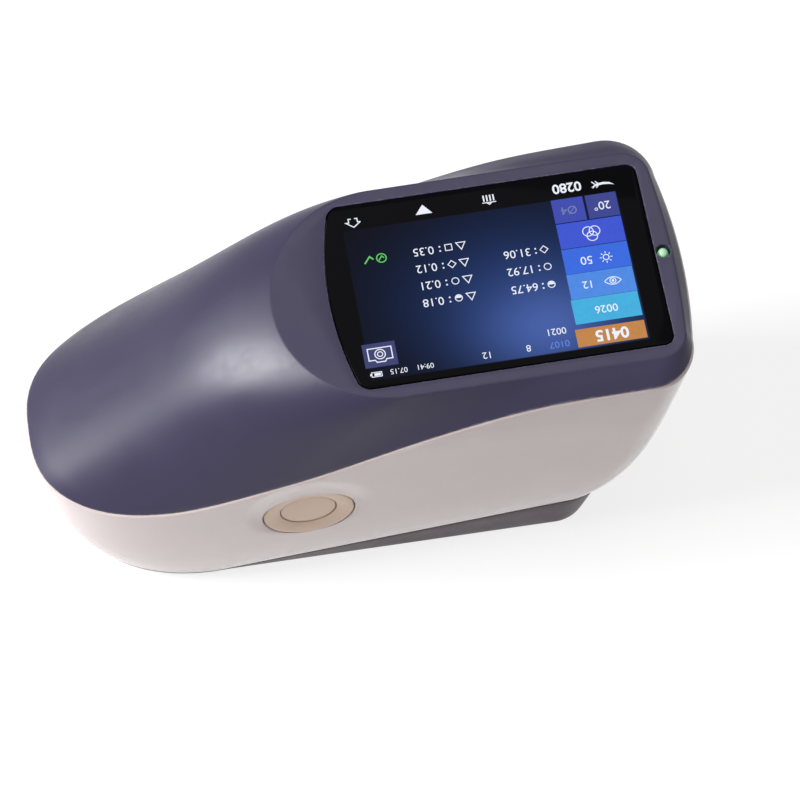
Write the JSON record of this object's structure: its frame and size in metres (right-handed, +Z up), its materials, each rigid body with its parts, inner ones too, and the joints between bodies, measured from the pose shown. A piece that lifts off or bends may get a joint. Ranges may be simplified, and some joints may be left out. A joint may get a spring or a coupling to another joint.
{
  "type": "handheld sphere colorimeter",
  "caption": "Handheld colorimeter: sloping dark cover with a flat screen deck over a pale glossy shell, round measure button on its side and measuring port underneath.",
  "frame": {"origin": "middle of the bounding box's footprint, at the level of the feet", "axes": "+X from the rounded tail to the head with the screen, +Y away from the side with the measure button, +Z up from the feet to the screen"},
  "size_m": [0.1824, 0.0782, 0.104],
  "materials": {
    "slate_satin": "satin moulded plastic",
    "pale_gloss": "high-gloss moulded plastic",
    "dark_grey_moulding": "fine-textured moulded plastic",
    "warm_grey_moulding": "satin moulded plastic",
    "black_moulding": "matt moulded plastic",
    "screen_black": "dark-printed cover glass, polished",
    "panel_grey": "display module frame",
    "soft_black": "matt elastomer",
    "pale_green_lens": "translucent light pipe",
    "board_green": "solder-masked circuit board",
    "sphere_white": "diffuse white",
    "battery_wrap": "shrink wrap",
    "ribbon_amber": "polyimide film",
    "steel": "plated steel",
    "anodised": "black anodised",
    "aluminium": "milled",
    "lens_glass": "polished"
  },
  "bodies": {
    "casing": {"base_plate": "dark_grey_moulding", "base_screw_1": "steel", "base_screw_2": "steel", "base_screw_3": "steel", "base_screw_4": "steel", "battery_pack": "battery_wrap", "battery_pad": "soft_black", "board_screw_1": "steel", "board_screw_2": "steel", "board_screw_3": "steel", "board_screw_4": "steel", "button_board": "board_green", "button_ring": "warm_grey_moulding", "button_switch": "black_moulding", "camera_module": "black_moulding", "chassis_plate": "aluminium", "chassis_screw_1": "steel", "chassis_screw_2": "steel", "chassis_screw_3": "steel", "chassis_screw_4": "steel", "clock_cell": "steel", "cover_screw_1": "steel", "cover_screw_2": "steel", "cover_screw_3": "steel", "cover_screw_4": "steel", "data_socket": "steel", "detector_board": "board_green", "display_board": "board_green", "display_gasket": "soft_black", "display_panel": "panel_grey", "display_ribbon": "ribbon_amber", "foot_1": "soft_black", "foot_2": "soft_black", "foot_3": "soft_black", "foot_4": "soft_black", "grating": "lens_glass", "lamp_board": "board_green", "lens_barrel": "anodised", "lower_shell": "pale_gloss", "main_board": "board_green", "port_seat": "anodised", "power_jack": "black_moulding", "rocker_body": "black_moulding", "screen_glass": "screen_black", "spectrometer_case": "anodised", "spectrometer_lid": "anodised", "sphere_lower": "sphere_white", "sphere_screw_1": "steel", "sphere_screw_2": "steel", "sphere_screw_3": "steel", "sphere_screw_4": "steel", "sphere_upper": "sphere_white", "status_light": "pale_green_lens", "top_cover": "slate_satin", "view_lens": "lens_glass"},
    "measure_button": {"measure_button": "warm_grey_moulding"},
    "aperture": {"aperture_ring": "black_moulding"},
    "rocker": {"power_rocker": "black_moulding"}
  },
  "joints": [
    {"name": "measure_button_press", "type": "slide", "parent": "casing", "child": "measure_button", "axis": [0, 1, 0], "range_m": [0, 0.0008], "stiffness_N_per_m": 900, "springref_m": -0.0008},
    {"name": "aperture_turn", "type": "hinge", "parent": "casing", "child": "aperture", "pos_m": [0.0431, 0, 0], "axis": [0, 0, 1], "range_deg": [0, 45]},
    {"name": "rocker_tilt", "type": "hinge", "parent": "casing", "child": "rocker", "pos_m": [-0.0201, 0.03198, 0.0345], "axis": [0, 0, 1], "range_deg": [0, 16]}
  ]
}
